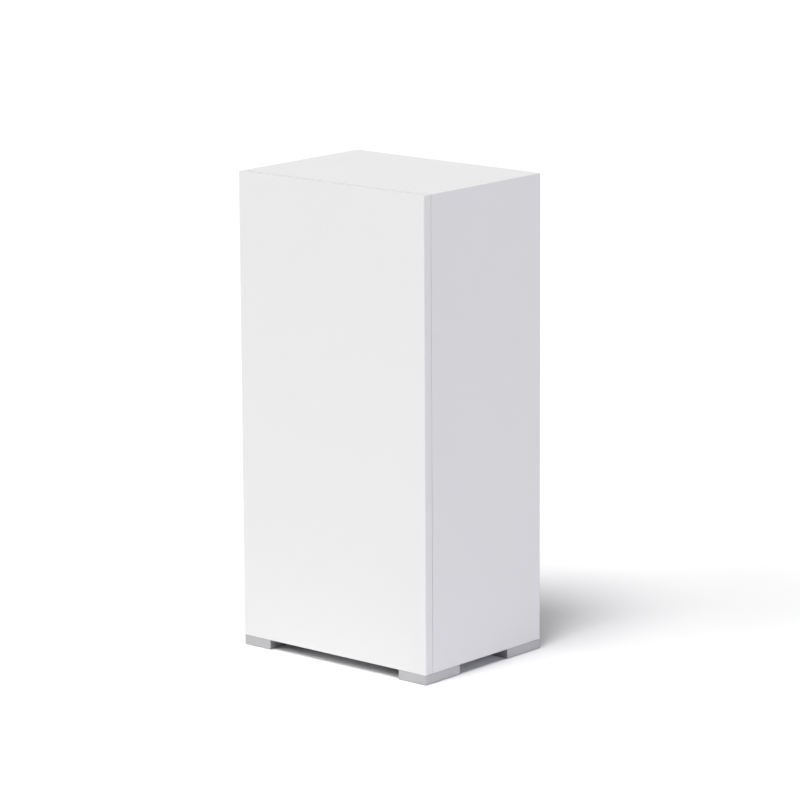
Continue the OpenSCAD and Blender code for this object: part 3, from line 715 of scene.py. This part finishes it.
def build_capacitors():
    """Cans with a crimped groove near the foot and a sleeve that laps over the rim of the top."""
    bm = bmesh.new()
    for low, high in solids_of("capacitors"):
        centre = (low + high) / 2
        outer = high.x - centre.x
        edge, crimp, crimp_z, crimp_h = 0.5 * MM, 0.35 * MM, low.z + 1.6 * MM, 0.9 * MM
        sleeve_lip, lip_h = 1.1 * MM, 0.1 * MM
        profile = [(0, low.z)] + arc((outer - edge, low.z + edge), edge, -90, 0)
        profile += [(outer - crimp * math.sin(math.pi * k / 8), crimp_z + crimp_h * (k / 8 - 0.5))
                    for k in range(9)]
        profile += arc((outer - edge, high.z - edge), edge, 0, 90)
        profile.append((outer - sleeve_lip, high.z))
        profile += [(outer - sleeve_lip - lip_h, high.z - lip_h), (0, high.z - lip_h)]
        add_turned(bm, profile, centre)
    detailed(bm, "capacitors")


CONTACTS_PER_JACK = 8


def build_jack_contacts(node):
    """Eight spring wires that come out of the roof behind the mouth and slope down into the socket."""
    low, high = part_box(node)
    wire_r = 0.19 * MM
    pitch = (high.x - low.x - 2 * wire_r) / (CONTACTS_PER_JACK - 1)
    outline = disc_outline(wire_r, 10)
    # From the roof round a tight bend, in millimetres behind the front of the wires and above their top
    bend = ((1.2, 0.1), (0.5, -0.02), (0.2, -0.3), (0.6, -0.55), (2.6, -0.85))
    bm = bmesh.new()
    for i in range(CONTACTS_PER_JACK):
        x = low.x + wire_r + i * pitch
        route = [(x, high.y - behind * MM, high.z + above * MM) for behind, above in bend]
        route += [(x, low.y + 2.0 * MM, low.z + 0.45 * MM), (x, low.y, low.z + 0.2 * MM)]
        add_swept(bm, curve_through(route, 5), outline)
    detailed(bm, node)


# Route of the right upper antenna lead in millimetres, from the antenna to its plug. The others mirror it.
LEAD_ROUTE = (
    (36.9, -8.4, 117), (36.4, -9.8, 117.6), (33.6, -9.8, 121), (30, -8.4, 127),
    (26.6, -6.2, 134), (24, -3.4, 138.4), (20.7, -1.7, 139.5), (19.4, -1.7, 139.5),
)
LEAD_R = 0.7 * MM


def build_lead(side, level):
    """One antenna lead, on the left when side is -1 and turned upside down when level is lower."""
    node = "coax_%s_%s" % ("left" if side < 0 else "right", level)
    low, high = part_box("coax_plugs")
    middle = (low.z + high.z) / 2
    route = []
    for x, y, z in LEAD_ROUTE:
        height = z * MM
        route.append((side * x * MM, y * MM, height if level == "upper" else 2 * middle - height))
    bm = bmesh.new()
    add_swept(bm, curve_through(route, 8), disc_outline(LEAD_R, 16))
    detailed(bm, node)


def build_flat_cable():
    """Ribbon in a soft S from the main board down to the button board."""
    low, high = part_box("flat_cable")
    half, thick, steps = (high.x - low.x) / 2, 0.15 * MM, 32
    level, falling = 0.15, 0.7
    path = []
    for k in range(steps + 1):
        t = k / steps
        drop = 0.5 * (1 - math.cos(math.pi * min(max((t - level) / falling, 0), 1)))
        z = high.z - thick + (low.z - high.z + 2 * thick) * drop
        path.append(((low.x + high.x) / 2, low.y + (high.y - low.y) * t, z))
    bm = bmesh.new()
    add_swept(bm, path, [(-half, -thick), (half, -thick), (half, thick), (-half, thick)])
    detailed(bm, "flat_cable")


def build_blank_label():
    """Blank film with round corners."""
    bm = clean_mesh("blank_label")
    corners = [e for e in sharp_edges(bm) if abs((e.verts[0].co - e.verts[1].co).normalized().z) > 0.9]
    round_edges(bm, corners, 1.5 * MM, 8)
    round_edges(bm, sharp_edges(bm), 0.03 * MM, 1)
    finish_piece(bm, "blank_label_finished", "blank_label")


# Assembly ---------------------------------------------------------------------------------------

# Edge radius in millimetres of each CAD node that keeps its shape
ROUNDED = {
    "base_plate": 0.15, "foot_screws": 0.15, "inner_frame": 0.2, "frame_screws": 0.15,
    "main_board": 0.08, "io_board": 0.08, "button_board": 0.08, "board_screws": 0.12,
    "processor": 0.15, "memory_chips": 0.1, "flash_chip": 0.1, "radio_chips": 0.1,
    "thermal_pads": 0.1, "radio_shield_upper": 0.12, "radio_shield_lower": 0.12,
    "heatsink_front": 0.15, "heatsink_rear": 0.15, "heatsink_screws": 0.12,
    "antenna_left_upper": 0.08, "antenna_left_lower": 0.08,
    "antenna_right_upper": 0.08, "antenna_right_lower": 0.08, "coax_plugs": 0.15,
    "io_board_screws": 0.12, "button_board_screws": 0.12, "board_connector": 0.2,
    "network_transformers": 0.25, "inductors": 0.5,
    "wan_jack_shield": 0.1, "lan_jack_shield": 0.1, "wan_jack_insert": 0.12, "lan_jack_insert": 0.12,
    "power_socket_shell": 0.08, "power_switch_body": 0.2, "power_rocker": 0.25,
    "sync_switch": 0.15, "sync_switch_plunger": 0.15,
    "reset_switch": 0.15, "reset_switch_plunger": 0.15, "status_led": 0.1,
}


def build_casing():
    for node in ("front_cover", "rear_housing"):
        rounded(node, 0.12 * MM, 2, (on_outer_box, 0.4 * MM))
    for place in ("front_left", "front_right", "rear_left", "rear_right"):
        rounded("foot_" + place, 0.2 * MM, 3)
    build_blank_label()
    build_foot_pads()


def build_controls():
    build_sync_button()
    build_light_pipe()
    rounded("power_socket_tongue", 0.05 * MM, finish="contact_tongue")
    for jack in ("wan", "lan"):
        build_jack_contacts(jack + "_jack_contacts")


def build_inside():
    build_capacitors()
    build_flat_cable()
    for side in (-1, 1):
        for level in ("upper", "lower"):
            build_lead(side, level)


make_camera()
make_world()
for light in LIGHTS:
    make_light(*light)
make_floor()
bpy.context.scene.view_settings.view_transform = "Standard"
materials = build_materials()
build_casing()
build_controls()
build_inside()
for part, radius in ROUNDED.items():
    rounded(part, radius * MM)
